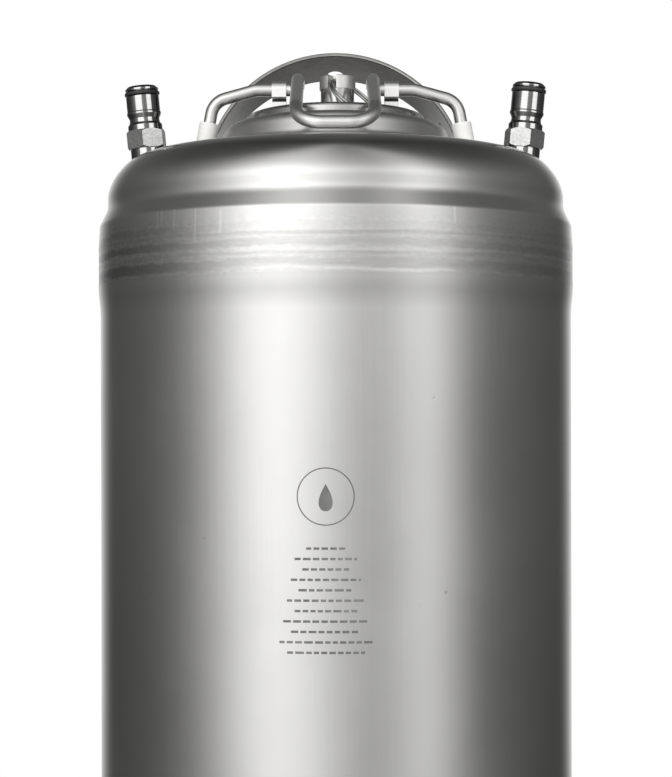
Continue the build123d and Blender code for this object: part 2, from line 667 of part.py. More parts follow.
with BuildPart() as relief_valve_gasket:
    with BuildSketch(Plane.XY.offset(up(UNDER_PAN))):
        with Locations((RELIEF_X, 0)):
            Circle(GASKET_R)
            Circle(SHANK_R, mode=Mode.SUBTRACT)
    extrude(amount=-GASKET_T)
save(relief_valve_gasket, "relief_valve_gasket")

with BuildPart() as relief_valve_nut:
    with BuildSketch(Plane.XY.offset(up(UNDER_PAN - GASKET_T))):
        with Locations((RELIEF_X, 0)):
            RegularPolygon(NUT_AF / 2, 6, major_radius=False)
            Circle(SHANK_R, mode=Mode.SUBTRACT)
    extrude(amount=-NUT_H)
save(relief_valve_nut, "relief_valve_nut")

# The cap plugs the body; its slot is open from end to end and flares where the ring leaves it.
turned = Plane(
    origin=(RELIEF_X, 0, up(CAP_BASE)),
    x_dir=(cos(radians(SLOT_TURN)), -sin(radians(SLOT_TURN)), 0),
    z_dir=(0, 0, 1),
)
with BuildPart() as relief_valve_cap:
    with BuildSketch(turned):
        Circle(CAP_R)
    extrude(amount=CAP_HEIGHT)
    fillet(relief_valve_cap.edges().sort_by(Axis.Z)[-1], CAP_EDGE_ROUND)
    with BuildSketch(turned):
        Rectangle(SLOT, 4 * CAP_R)
        with BuildLine():
            Polyline(RING_FLARE, close=True)
        make_face()
    extrude(amount=CAP_HEIGHT + 1, mode=Mode.SUBTRACT)
    with BuildSketch(turned):
        Circle(VALVE_BORE)
    extrude(amount=-PLUG_DEPTH)
    with BuildSketch(turned):
        Circle(STEM_HOLE)
    extrude(amount=2 * CAP_HEIGHT, both=True, mode=Mode.SUBTRACT)
save(relief_valve_cap, "relief_valve_cap")

disc_foot = SEAT + VALVE_SEAL_T
disc_head = disc_foot + VALVE_DISC_T
with BuildPart() as relief_valve_stem:
    with BuildSketch(valve_section):
        with BuildLine():
            Polyline(
                (0, disc_foot),
                (VALVE_DISC_R, disc_foot),
                (VALVE_DISC_R, disc_head),
                (VALVE_STEM_R, disc_head),
                (VALVE_STEM_R, CAP_BASE + 1),
                (0, CAP_BASE + 1),
                close=True,
            )
        make_face()
    revolve(axis=valve_axis)
    with BuildSketch(turned.offset(0.3)):
        Rectangle(SLOT - 0.3, BLADE)
    extrude(amount=RING_HOLE_Z + EYE_RISE - CAP_BASE - 0.3)
    with BuildSketch(Plane(origin=(RELIEF_X, 0, up(RING_HOLE_Z)), z_dir=turned.y_dir)):
        Circle(RING_HOLE_R)
    extrude(amount=SLOT, both=True, mode=Mode.SUBTRACT)
save(relief_valve_stem, "relief_valve_stem")

with BuildPart() as relief_valve_seal:
    with BuildSketch(valve_section):
        with BuildLine():
            Polyline(
                (0, SEAT),
                (VALVE_SEAL_R, SEAT),
                (VALVE_DISC_R, disc_foot),
                (0, disc_foot),
                close=True,
            )
        make_face()
    revolve(axis=valve_axis)
save(relief_valve_seal, "relief_valve_seal")

valve_coil_low = disc_head + VALVE_WIRE + VALVE_GAP
valve_coil_height = CAP_BASE - PLUG_DEPTH - VALVE_WIRE - VALVE_GAP - valve_coil_low
with BuildPart() as relief_valve_spring:
    with BuildLine() as turns:
        Helix(
            valve_coil_height / VALVE_TURNS,
            valve_coil_height,
            VALVE_COIL_R,
            center=(RELIEF_X, 0, up(valve_coil_low)),
        )
    with BuildSketch(Plane(origin=turns.wire() @ 0, z_dir=turns.wire() % 0)):
        Circle(VALVE_WIRE)
    sweep(path=turns.wire(), is_frenet=True)
save(relief_valve_spring, "relief_valve_spring")

# Two turns of wire side by side: the ring lies in the plane of the hole and of its droop.
hole = Vector(RELIEF_X, 0, up(RING_HOLE_Z))
along = Vector(sin(radians(RING_TURN)), cos(radians(RING_TURN)), 0)
across = Vector(cos(radians(RING_TURN)), -sin(radians(RING_TURN)), 0)
droop = radians(RING_DROOP)
outward = across * cos(droop) - Vector(0, 0, sin(droop))
ring_plane = Plane(origin=hole + outward * RING_MEAN, x_dir=outward, z_dir=along)
ring_normal = along.cross(outward)
with BuildPart() as pull_ring:
    with BuildSketch(ring_plane):
        with Locations((RING_MEAN, RING_TURNS_APART / 2), (RING_MEAN, -RING_TURNS_APART / 2)):
            Circle(RING_WIRE)
    revolve(axis=Axis(ring_plane.origin, ring_normal))
save(pull_ring, "pull_ring")
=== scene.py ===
"""Looks of the ball-lock soda keg: finer meshes for its sheet metal and wire, procedural materials,
a studio world and the camera. Metres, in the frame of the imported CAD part."""

from math import asin, cos, exp, pi, radians, sin, sqrt

import bpy
from mathutils import Matrix, Vector, noise


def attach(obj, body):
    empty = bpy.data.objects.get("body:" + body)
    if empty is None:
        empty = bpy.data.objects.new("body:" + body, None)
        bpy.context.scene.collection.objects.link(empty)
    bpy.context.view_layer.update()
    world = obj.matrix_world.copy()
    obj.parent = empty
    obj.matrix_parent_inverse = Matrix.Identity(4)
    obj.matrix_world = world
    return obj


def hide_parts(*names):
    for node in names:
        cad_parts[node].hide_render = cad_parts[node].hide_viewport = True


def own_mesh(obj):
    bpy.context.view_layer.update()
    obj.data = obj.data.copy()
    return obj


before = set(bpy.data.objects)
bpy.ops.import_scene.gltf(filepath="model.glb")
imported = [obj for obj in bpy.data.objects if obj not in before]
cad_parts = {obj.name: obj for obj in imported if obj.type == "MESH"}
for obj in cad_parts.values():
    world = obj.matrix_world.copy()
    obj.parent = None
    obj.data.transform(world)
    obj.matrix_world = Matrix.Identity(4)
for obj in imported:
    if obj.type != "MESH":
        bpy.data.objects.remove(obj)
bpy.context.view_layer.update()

# ---- sizes in millimetres, heights on the head counted from the joggle ----
MM = 0.001
JOGGLE = 545.0
SHEET = 1.1
KEG_R, BAND_R = 108.0, 109.0
BAND_TOP, BAND_BOTTOM, BAND_BLEND, SEAM = -16.0, -36.0, 16.0, -25.0
SHOULDER_R, SHOULDER_H, KNUCKLE, DOME = 104.0, 2.8, 19.7, 620.0
WALL_FOOT = 56.0
NECK_X, NECK_Y, NECK_TOP, NECK_ROUND, NECK_BLEND = 52.0, 62.0, 36.5, 5.2, 3.5
OPENING_X, OPENING_Y, LIP_END, MOUTH_ROUND = 44.0, 52.0, 27.5, 2.0
POST_X, POST_Z, POST_LEAN = 87.0, 27.5, 5.4
PORT_R = 7.75
WIRE, PIVOT, LEVER = 2.9, 54.7, 17.0

KNUCKLE_X = SHOULDER_R - KNUCKLE
DOME_Z = SHOULDER_H - sqrt((DOME - KNUCKLE) ** 2 - KNUCKLE_X**2)


def smooth(low, high, value):
    """Eases from 0 at low to 1 at high."""
    t = min(max((value - low) / (high - low), 0.0), 1.0)
    return t * t * (3 - 2 * t)


def head_height(radius):
    """Height of the top head's outside at a radius, counted from the joggle."""
    if radius < KNUCKLE_X:
        return DOME_Z + sqrt(DOME**2 - radius**2)
    return SHOULDER_H + sqrt(max(KNUCKLE**2 - (radius - KNUCKLE_X) ** 2, 0.0))


# ---------------------------------------------------------------- mesh tools
def finish_mesh(name, points, faces, body, material, sharp=35.0):
    """Makes an object of a mesh in millimetres, shades it and lets it ride on a body."""
    mesh = bpy.data.meshes.new(name)
    mesh.from_pydata([Vector(p) * MM for p in points], [], faces)
    mesh.validate()
    mesh.shade_smooth()
    mesh.set_sharp_from_angle(angle=radians(sharp))
    mesh.materials.append(material)
    piece = bpy.data.objects.new(name, mesh)
    bpy.context.scene.collection.objects.link(piece)
    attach(piece, body)
    return piece


def ring_faces(count, around, closed=False):
    """Quads between successive rings of points, each ring closed on itself."""
    faces = []
    for i in range(count if closed else count - 1):
        a, b = i * around, ((i + 1) % count) * around
        for j in range(around):
            k = (j + 1) % around
            faces.append((a + j, a + k, b + k, b + j))
    return faces


def tube(path, radius, sides, closed=False, ends=True):
    """Points and faces of a round tube along a path; radius may be a function of the index."""
    path = [Vector(p) for p in path]
    size = radius if callable(radius) else (lambda i: radius)
    count = len(path)
    points = []
    side = None
    for i, p in enumerate(path):
        if closed:
            ahead = path[(i + 1) % count] - path[i - 1]
        else:
            ahead = path[min(i + 1, count - 1)] - path[max(i - 1, 0)]
        ahead.normalize()
        if side is None:
            side = ahead.orthogonal().normalized()
        side = (side - ahead * side.dot(ahead)).normalized()
        up = ahead.cross(side)
        for j in range(sides):
            turn = 2 * pi * j / sides
            points.append(p + (side * cos(turn) + up * sin(turn)) * size(i))
    faces = ring_faces(count, sides, closed)
    if ends and not closed:
        faces.append(tuple(range(sides))[::-1])
        faces.append(tuple(range((count - 1) * sides, count * sides)))
    return points, faces


def rounded(points, radii, step=0.6):
    """A path of straight runs whose inner corners are rounded to the given radii."""
    points = [Vector(p) for p in points]
    path = [points[0]]
    for i in range(1, len(points) - 1):
        back = (points[i - 1] - points[i]).normalized()
        ahead = (points[i + 1] - points[i]).normalized()
        half = back.angle(ahead) / 2
        reach = radii[i - 1] / (sin(half) / cos(half))
        centre = points[i] + (back + ahead).normalized() * (radii[i - 1] / sin(half))
        first, last = points[i] + back * reach - centre, points[i] + ahead * reach - centre
        total = first.angle(last)
        steps = max(int(total * radii[i - 1] / step), 4)
        axis = first.cross(last)
        for k in range(steps + 1):
            path.append(centre + Matrix.Rotation(total * k / steps, 3, axis) @ first)
    path.append(points[-1])
    dense = [path[0]]
    for a, b in zip(path, path[1:]):
        pieces = max(int((b - a).length / (3 * step)), 1)
        dense += [a.lerp(b, k / pieces) for k in range(1, pieces + 1)]
    return dense


def joined(parts):
    """One mesh out of several (points, faces) pairs."""
    points, faces = [], []
    for some_points, some_faces in parts:
        base = len(points)
        points += some_points
        faces += [tuple(base + i for i in face) for face in some_faces]
    return points, faces


# ---------------------------------------------------------------- material tools
class Tree:
    """Short way to write a node tree."""

    def __init__(self, owner):
        owner.use_nodes = True
        self.nodes, self.links = owner.node_tree.nodes, owner.node_tree.links

    def add(self, kind, inputs=None, **settings):
        node = self.nodes.new(kind)
        for key, value in settings.items():
            setattr(node, key, value)
        for key, value in (inputs or {}).items():
            if isinstance(value, bpy.types.NodeSocket):
                self.links.new(value, node.inputs[key])
            else:
                node.inputs[key].default_value = value
        return node

    def math(self, operation, *values):
        inputs = dict(enumerate(values))
        return self.add("ShaderNodeMath", inputs, operation=operation).outputs[0]

    def ramp(self, value, stops, interpolation="LINEAR"):
        node = self.add("ShaderNodeValToRGB", {0: value})
        node.color_ramp.interpolation = interpolation
        elements = node.color_ramp.elements
        for i, (place, level) in enumerate(stops):
            element = elements[i] if i < 2 else elements.new(place)
            element.position = place
            element.color = (level, level, level, 1) if isinstance(level, (int, float)) else (*level, 1)
        return node.outputs[0]

    def span(self, value, low, high, start=0.0, end=1.0):
        inputs = {0: value, 1: low, 2: high, 3: start, 4: end}
        return self.add("ShaderNodeMapRange", inputs, interpolation_type="SMOOTHSTEP").outputs[0]

    def span_linear(self, value, low, high):
        return self.add("ShaderNodeMapRange", {0: value, 1: low, 2: high, 3: 0.0, 4: 1.0}).outputs[0]

    def bell(self, value, middle, reach):
        """1 at the middle, falling off smoothly on both sides."""
        away = self.math("DIVIDE", self.math("SUBTRACT", value, middle), reach)
        return self.math("EXPONENT", self.math("MULTIPLY", self.math("MULTIPLY", away, away), -1.0))

    def noise(self, vector, scale, detail=3.0, rough=0.55):
        inputs = {"Vector": vector, "Scale": scale, "Detail": detail, "Roughness": rough}
        return self.add("ShaderNodeTexNoise", inputs).outputs[0]


def polar(tree):
    """Object coordinates, with their turn from the front, distance from the keg's axis and height."""
    place = tree.add("ShaderNodeTexCoord").outputs["Object"]
    x, y, z = tree.add("ShaderNodeSeparateXYZ", {0: place}).outputs
    turn = tree.math("ARCTAN2", x, tree.math("MULTIPLY", y, -1.0))
    square = tree.math("ADD", tree.math("MULTIPLY", x, x), tree.math("MULTIPLY", y, y))
    return place, turn, tree.math("SQRT", square), z


def around_axis(tree, turn, radius, z, turn_scale, height_scale, radius_scale):
    """Polar coordinates laid out flat, so that grain can run round the keg's axis."""
    inputs = {
        0: tree.math("MULTIPLY", turn, turn_scale),
        1: tree.math("MULTIPLY", z, height_scale),
        2: tree.math("MULTIPLY", radius, radius_scale),
    }
    return tree.add("ShaderNodeCombineXYZ", inputs).outputs[0]


def principled(name, colour, metallic, roughness):
    material = bpy.data.materials.new(name)
    tree = Tree(material)
    shader = tree.nodes["Principled BSDF"]
    shader.inputs["Base Color"].default_value = (*colour, 1)
    shader.inputs["Metallic"].default_value = metallic
    shader.inputs["Roughness"].default_value = roughness
    return material, tree, shader


def tint(tree, factor, dark, light):
    """Colour between two tones."""
    inputs = {0: factor, 6: (*dark, 1), 7: (*light, 1)}
    return tree.add("ShaderNodeMix", inputs, data_type="RGBA").outputs[2]


def link_bump(tree, shader, height, distance, strength=1.0, before=None):
    inputs = {"Height": height, "Distance": distance, "Strength": strength}
    if before is not None:
        inputs["Normal"] = before
    bump = tree.add("ShaderNodeBump", inputs)
    tree.links.new(bump.outputs[0], shader.inputs["Normal"])
    return bump.outputs[0]


# Faint upright draw lines beside the band: degrees from the front, top and bottom over the joggle.
DRAW_LINES = [
    (-44.0, -10, -16), (-42.6, -10, -14), (-38.6, -10, -16),
    (-32.5, -10, -22), (-26.0, -12, -19), (27.0, -10, -15),
]
DRAW_LINE_TONE = 0.16
# Dark streaks that grinding left along the weld: bottom and top over the joggle, and their tone.
STREAKS = [(-36, -31.5, 0.45), (-26.5, -23.5, 0.55), (-19.5, -16.5, 0.75)]
STREAK_EDGE = 0.7
# How strongly the grinding shows, by degrees from the front: most on the left.
GROUND_SHARE = [(-180, 0.3), (-70, 0.95), (-30, 0.3), (5, 0.2), (70, 0.4), (180, 0.3)]
# The matt weld band and the dull neck fade in and out between these heights and distances, in metres.
BAND_FADE_LOW, BAND_FADE_HIGH = (0.5062, 0.5085), (0.5268, 0.5242)
NECK_FADE_OUT, NECK_FADE_UP = (0.072, 0.066), (0.566, 0.57)


def ground_tone(tree, place, turn, radius, z):
    """Darkening by the ground streaks, their heights made to wander by noise; 1 is none."""
    spread = tree.add("ShaderNodeVectorMath", {0: place, 1: (16, 16, 2)}, operation="MULTIPLY").outputs[0]
    wander = tree.span(tree.noise(spread, 1.0, 4.0, 0.55), 0.25, 0.75, -1.3, 1.3)
    ragged_at = around_axis(tree, turn, radius, z, 26, 260, 260)
    ragged = tree.span(tree.noise(ragged_at, 1.0, 4.0, 0.6), 0.25, 0.75, -0.45, 0.45)
    over = tree.math("MULTIPLY", tree.math("SUBTRACT", z, JOGGLE * MM), 1 / MM)
    over = tree.math("ADD", tree.math("ADD", over, wander), ragged)
    tone = 1.0
    for bottom, top, streak_tone in STREAKS:
        inside = tree.math(
            "MULTIPLY",
            tree.span(over, bottom - STREAK_EDGE, bottom + STREAK_EDGE),
            tree.span(over, top + STREAK_EDGE, top - STREAK_EDGE),
        )
        tone = tree.math("SUBTRACT", tone, tree.math("MULTIPLY", inside, 1 - streak_tone))
    stops = [(a / 360 + 0.5, v) for a, v in GROUND_SHARE]
    share = tree.ramp(tree.span_linear(turn, -pi, pi), stops)
    mottle_at = around_axis(tree, turn, radius, z, 40, 700, 700)
    mottle = tree.span(tree.noise(mottle_at, 1.0, 5.0, 0.75), 0.3, 0.7, 0.75, 1.12)
    change = tree.math("SUBTRACT", tree.math("MULTIPLY", tone, mottle), 1.0)
    share = tree.math("MULTIPLY", share, near_weld(tree, over))
    return tree.math("ADD", 1.0, tree.math("MULTIPLY", share, change))


def near_weld(tree, over):
    """1 over the ground zone, fading out past its edges."""
    return tree.math("MULTIPLY", tree.span(over, -38.5, -37.0), tree.span(over, -12.0, -15.0))


def draw_lines(tree, turn, z):
    """1 on the faint upright draw lines."""
    lines = 0.0
    for azimuth, top, bottom in DRAW_LINES:
        away = tree.math("ABSOLUTE", tree.math("SUBTRACT", turn, radians(azimuth)))
        low, high = (JOGGLE + bottom) * MM, (JOGGLE + top) * MM
        reach = tree.math(
            "MULTIPLY", tree.span(z, low - 3 * MM, low), tree.span(z, high + MM, high)
        )
        line = tree.math("MULTIPLY", tree.span(away, 0.0085, 0.001), reach)
        lines = tree.math("MAXIMUM", lines, line)
    return lines


def tank_material():
    """Rolled stainless: fine upright grain, ground weld band, draw lines and stray specks."""
    material, tree, shader = principled("tank_satin", (0.62, 0.615, 0.6), 1.0, 0.18)
    place, turn, radius, z = polar(tree)
    grain = tree.noise(around_axis(tree, turn, radius, z, 420, 9, 420), 1.0, 4.0, 0.6)
    band_grain = tree.noise(around_axis(tree, turn, radius, z, 9, 900, 900), 1.0, 5.0, 0.7)
    smudge = tree.noise(place, 14.0, 4.0, 0.6)
    speck = tree.noise(place, 260.0, 2.0, 0.5)
    in_band = tree.math("MULTIPLY", tree.span(z, *BAND_FADE_LOW), tree.span(z, *BAND_FADE_HIGH))
    marks = tree.add("ShaderNodeMix", {0: in_band, 2: grain, 3: band_grain}).outputs[0]
    tone = tree.math("ADD", tree.math("MULTIPLY", smudge, 0.7), tree.math("MULTIPLY", marks, 0.3))
    colour = tint(tree, tree.span(tone, 0.3, 0.72), (0.6, 0.596, 0.584), (0.66, 0.656, 0.644))

    lines = tree.math("MULTIPLY", draw_lines(tree, turn, z), DRAW_LINE_TONE)
    ground = tree.math("ADD", ground_tone(tree, place, turn, radius, z), lines)
    inputs = {0: 1.0, 6: colour, 7: ground}
    colour = tree.add("ShaderNodeMix", inputs, data_type="RGBA", blend_type="MULTIPLY").outputs[2]
    specks = tree.math("MULTIPLY", tree.span(speck, 0.775, 0.79), 0.45)
    inputs = {0: specks, 6: colour, 7: (0.3, 0.29, 0.28, 1)}
    spotted = tree.add("ShaderNodeMix", inputs, data_type="RGBA").outputs[2]
    tree.links.new(spotted, shader.inputs["Base Color"])

    neck = tree.math("MULTIPLY", tree.span(radius, *NECK_FADE_OUT), tree.span(z, *NECK_FADE_UP))
    rough = tree.math("ADD", tree.span(marks, 0.3, 0.7, 0.16, 0.19), tree.math("MULTIPLY", neck, 0.22))
    dull = tree.math("ADD", tree.math("MULTIPLY", in_band, 0.03), tree.span(smudge, 0.4, 0.7, 0.0, 0.03))
    tree.links.new(tree.math("ADD", rough, dull), shader.inputs["Roughness"])
    fine = link_bump(tree, shader, marks, 0.0000025)
    link_bump(tree, shader, tree.math("MULTIPLY", band_grain, in_band), 0.00006, 1.0, fine)
    return material


# The hex lies outside this distance from the post's axis, in metres.
HEX_STARTS = (0.00805, 0.00815)


def post_material(side):
    """Polished post with a duller, mottled hex: the finish changes with distance from its axis."""
    name = "post_polished_left" if side < 0 else "post_polished_right"
    material, tree, shader = principled(name, (0.2, 0.2, 0.198), 1.0, 0.1)
    place = tree.add("ShaderNodeTexCoord").outputs["Object"]
    foot = (MM * side * POST_X, 0, MM * (JOGGLE + POST_Z))
    lean = radians(POST_LEAN)
    local = tree.add("ShaderNodeVectorMath", {0: place, 1: foot}, operation="SUBTRACT").outputs[0]
    off = tree.add(
        "ShaderNodeVectorMath", {0: local, 1: (side * sin(lean), 0, cos(lean))}, operation="CROSS_PRODUCT"
    ).outputs[0]
    distance = tree.add("ShaderNodeVectorMath", {0: off}, operation="LENGTH").outputs["Value"]
    hexed = tree.span(distance, *HEX_STARTS)
    inputs = {0: place, 1: (250, 250, 5200)}
    turned = tree.add("ShaderNodeVectorMath", inputs, operation="MULTIPLY").outputs[0]
    rings = tree.noise(turned, 1.0, 4.0, 0.6)
    mottle = tree.noise(place, 900.0, 4.0, 0.7)
    plain = tint(tree, tree.span(rings, 0.3, 0.7), (0.17, 0.17, 0.168), (0.22, 0.22, 0.218))
    dull = tint(tree, tree.span(mottle, 0.35, 0.65), (0.2, 0.2, 0.198), (0.27, 0.27, 0.267))
    tree.links.new(
        tree.add("ShaderNodeMix", {0: hexed, 6: plain, 7: dull}, data_type="RGBA").outputs[2],
        shader.inputs["Base Color"],
    )
    tree.links.new(tree.span(hexed, 0, 1, 0.09, 0.4), shader.inputs["Roughness"])
    height = tree.add("ShaderNodeMix", {0: hexed, 2: rings, 3: mottle}).outputs[0]
    link_bump(tree, shader, height, 0.0000015)
    return material


def brushed_material(name, dark, light, rough, grain_scale, stretch, bump=0.00001):
    """Satin stainless with its grain along one direction, by stretching the noise."""
    material, tree, shader = principled(name, light, 1.0, rough)
    place = tree.add("ShaderNodeTexCoord").outputs["Object"]
    stretched = tree.add("ShaderNodeVectorMath", {0: place, 1: stretch}, operation="MULTIPLY").outputs[0]
    grain = tree.noise(stretched, grain_scale, 4.0, 0.65)
    smudge = tree.noise(place, 90.0, 4.0, 0.6)
    tone = tree.math("ADD", tree.math("MULTIPLY", smudge, 0.5), tree.math("MULTIPLY", grain, 0.5))
    tree.links.new(tint(tree, tree.span(tone, 0.34, 0.66), dark, light), shader.inputs["Base Color"])
    tree.links.new(tree.span(grain, 0.3, 0.7, rough - 0.05, rough + 0.06), shader.inputs["Roughness"])
    link_bump(tree, shader, grain, bump)
    return material


def bracket_material_painted_shade():
    """Pale rolled strip whose curled inside is painted near black as painted shade, standing in for the
    shade behind the wire.
    """
    material, tree, shader = principled("bracket_satin_painted_shade", (0.88, 0.875, 0.86), 1.0, 0.36)
    place = tree.add("ShaderNodeTexCoord").outputs["Object"]
    y, z = tree.add("ShaderNodeSeparateXYZ", {0: place}).outputs[1:3]
    inputs = {0: place, 1: (2600, 300, 300)}
    grained = tree.add("ShaderNodeVectorMath", inputs, operation="MULTIPLY").outputs[0]
    grain = tree.noise(grained, 1.0, 4.0, 0.65)
    # painted shade: the curl's inner face behind and below the wire is masked here and painted near black
    inside = tree.math("MULTIPLY", tree.span(y, -0.0029, -0.0025), tree.span(z, 0.5965, 0.596))
    pale = tint(tree, tree.span(grain, 0.34, 0.66), (0.84, 0.835, 0.82), (0.92, 0.915, 0.9))
    # the near-black colour is painted shade, not a stain of the strip
    inputs = {0: inside, 6: pale, 7: (0.08, 0.078, 0.075, 1)}
    colour = tree.add("ShaderNodeMix", inputs, data_type="RGBA").outputs[2]
    tree.links.new(colour, shader.inputs["Base Color"])
    tree.links.new(tree.span(grain, 0.3, 0.7, 0.32, 0.4), shader.inputs["Roughness"])
    link_bump(tree, shader, grain, 0.000005)
    return material


def moulded_material(name, dark, light, rough, grain_scale, bump, sheen=0.0):
    """Moulded plastic or rubber with fine pores, dull patches and slight colour variation."""
    material, tree, shader = principled(name, light, 0.0, rough)
    place = tree.add("ShaderNodeTexCoord").outputs["Object"]
    pores = tree.noise(place, grain_scale, 3.0, 0.6)
    patch = tree.noise(place, 60.0, 4.0, 0.6)
    tree.links.new(tint(tree, tree.span(patch, 0.35, 0.7), dark, light), shader.inputs["Base Color"])
    tree.links.new(tree.span(patch, 0.3, 0.7, rough - 0.08, rough + 0.08), shader.inputs["Roughness"])
    shader.inputs["Sheen Weight"].default_value = sheen
    link_bump(tree, shader, pores, bump)
    return material


TANK = tank_material()
HANDLE = brushed_material(
    "handle_satin", (0.34, 0.335, 0.325), (0.42, 0.415, 0.4), 0.3, 1.0, (90, 2600, 90), 0.000006
)
LID = brushed_material(
    "lid_satin", (0.5, 0.495, 0.48), (0.55, 0.545, 0.53), 0.24, 700.0, (1, 1, 0.3), 0.000003
)
BRACKET = bracket_material_painted_shade()
ROD = brushed_material(
    "rod_satin", (0.76, 0.755, 0.74), (0.8, 0.795, 0.78), 0.33, 900.0, (1, 1, 1), 0.000001
)
VALVE = brushed_material(
    "valve_turned", (0.5, 0.497, 0.487), (0.6, 0.597, 0.585), 0.17, 1.0, (250, 250, 4200), 0.000002
)
LEFT_POST, RIGHT_POST = post_material(-1), post_material(1)
PLAIN = brushed_material(
    "turned_plain", (0.5, 0.5, 0.49), (0.62, 0.62, 0.61), 0.3, 1.0, (400, 400, 4000)
)
SPRING = brushed_material(
    "spring_bright", (0.55, 0.55, 0.54), (0.68, 0.68, 0.67), 0.2, 1500.0, (1, 1, 1)
)
RING = brushed_material("ring_bright", (0.5, 0.5, 0.49), (0.62, 0.62, 0.61), 0.16, 1200.0, (1, 1, 1))
SINTERED = brushed_material(
    "valve_cap_matt", (0.8, 0.79, 0.77), (0.9, 0.89, 0.87), 0.42, 2400.0, (1, 1, 1), 0.00003
)
BEAD = brushed_material(
    "weld_bead", (0.46, 0.45, 0.43), (0.6, 0.59, 0.57), 0.3, 1400.0, (1, 1, 1), 0.00003
)
VINYL = moulded_material(
    "cap_vinyl", (0.5, 0.497, 0.48), (0.58, 0.577, 0.56), 0.42, 1500.0, 0.00002, 0.1
)
RUBBER = moulded_material(
    "seal_black", (0.012, 0.012, 0.012), (0.03, 0.03, 0.03), 0.38, 2400.0, 0.00002
)
BOOT = moulded_material(
    "boot_black", (0.016, 0.016, 0.017), (0.034, 0.034, 0.035), 0.56, 900.0, 0.00005, 0.15
)
INK = moulded_material("printed_grey", (0.07, 0.07, 0.07), (0.13, 0.13, 0.125), 0.5, 1800.0, 0.00001)

finish_of = {
    "tank_wall": TANK, "top_head": TANK, "bottom_head": TANK, "carry_handle": HANDLE,
    "rubber_boot": BOOT, "lid_plate": LID, "lid_o_ring": RUBBER,
    "left_bail_bracket": BRACKET, "right_bail_bracket": BRACKET,
    "bail_wire": ROD, "left_foot_cap": VINYL, "right_foot_cap": VINYL,
    "relief_valve_body": VALVE, "relief_valve_cap": SINTERED, "relief_valve_nut": PLAIN,
    "relief_valve_gasket": RUBBER, "relief_valve_stem": PLAIN, "relief_valve_seal": RUBBER,
    "relief_valve_spring": SPRING, "pull_ring": RING,
}
for port, polish in (("gas", LEFT_POST), ("liquid", RIGHT_POST)):
    finish_of |= {
        f"{port}_port_neck": polish, f"{port}_post_body": polish, f"{port}_post_o_ring": RUBBER,
        f"{port}_dip_tube": PLAIN, f"{port}_dip_tube_o_ring": RUBBER, f"{port}_poppet": PLAIN,
        f"{port}_poppet_seal": RUBBER, f"{port}_poppet_spring": SPRING,
    }
for node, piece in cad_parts.items():
    piece.data.materials.clear()
    piece.data.materials.append(finish_of[node])

# ---------------------------------------------------------------- tank sheet metal
AROUND = 480


def weld_mark(turn, height):
    """How far the planished weld band lies inside the sheet: wavy edges, flat hammer marks."""
    way = Vector((cos(turn) * 2.2, sin(turn) * 2.2, 0.0))
    low = -36.6 + 1.3 * noise.noise(way) + 0.5 * noise.noise(way * 4)
    middle = -28.8 + 1.5 * noise.noise(way * 1.4 + Vector((0, 0, 3)))
    high = -20.4 + 0.9 * noise.noise(way * 1.7 + Vector((0, 0, 7)))
    depth = 0.16 * smooth(low, low + 1.5, height) * smooth(high, high - 1.3, height)
    ridge = 0.11 * exp(-(((height - middle) / 0.9) ** 2))
    rough = 0.035 * noise.noise(Vector((cos(turn) * 14, sin(turn) * 14, height * 0.5)))
    inside = smooth(low, low + 2, height) * smooth(high, high - 2, height)
    return depth - ridge * 0.7 + rough * inside


def sway(turn, height):
    """Slow unevenness of drawn sheet, a few hundredths of a millimetre."""
    return 0.05 * noise.noise(Vector((cos(turn) * 1.6, sin(turn) * 1.6, height * 0.012)))


def seam_line(turn):
    """The wall's upright seam at the back, planished flat."""
    away = (turn - pi / 2 + pi) % (2 * pi) - pi
    return 0.12 * exp(-((away / 0.018) ** 2)) - 0.07 * exp(-((away / 0.006) ** 2))


def swell(start_r, start_z, end_r, end_z, inset, steps):
    """Two tangent arcs from one upright line to another, from the top down."""
    drop, step = start_z - end_z, end_r - start_r
    radius = (drop**2 + step**2) / (4 * abs(step))
    side = 1 if step > 0 else -1
    points = []
    for i in range(steps + 1):
        t = i / steps
        z = start_z - drop * t
        if t <= 0.5:
            r = start_r + side * (radius - sqrt(radius**2 - (start_z - z) ** 2))
        else:
            r = end_r - side * (radius - sqrt(radius**2 - (z - end_z) ** 2))
        slope = (start_z - z if t <= 0.5 else z - end_z) / radius
        points.append((r - inset * sqrt(1 - slope**2), z - side * inset * slope))
    return points


def oval_radius(turn, x, y):
    return x * y / sqrt((y * cos(turn)) ** 2 + (x * sin(turn)) ** 2)


# Upper drum wall: outside profile from the seam down, then the inside back up.
outside = [(BAND_R, SEAM - i * (SEAM - BAND_BOTTOM) / 26) for i in range(27)]
outside += swell(BAND_R, BAND_BOTTOM, KEG_R, BAND_BOTTOM - BAND_BLEND, 0, 26)[1:]
foot = WALL_FOOT - JOGGLE
drum_top = BAND_BOTTOM - BAND_BLEND
outside += [(KEG_R, drum_top - (i + 1) * (drum_top - foot) / 60) for i in range(60)]
inside = [(KEG_R - SHEET, foot)]
inside += swell(BAND_R, BAND_BOTTOM, KEG_R, BAND_BOTTOM - BAND_BLEND, SHEET, 12)[::-1]
inside += [(BAND_R - SHEET, SEAM)]
points = []
for k, (r, z) in enumerate(outside + inside):
    for j in range(AROUND):
        turn = 2 * pi * j / AROUND
        if k < len(outside):
            fade = smooth(foot, foot + 12, z)
            dent = weld_mark(turn, z) + (sway(turn, z) + seam_line(turn)) * fade * smooth(SEAM, SEAM - 8, z)
        else:
            dent = 0.0
        points.append(((r - dent) * cos(turn), (r - dent) * sin(turn), JOGGLE + z))
wall = finish_mesh(
    "tank_wall_sheet", points, ring_faces(len(outside + inside), AROUND, True), "tank", TANK
)
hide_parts("tank_wall")


def joggle_slope(z):
    """Outward lean of the sheet below the shoulder: a cone with a tight lower corner."""
    cone = 0.48 * smooth(0.6, -5.0, z) * smooth(-11.0, -8.9, z)
    return cone + 0.055 * smooth(-9, -11, z) * smooth(-24, -18, z)


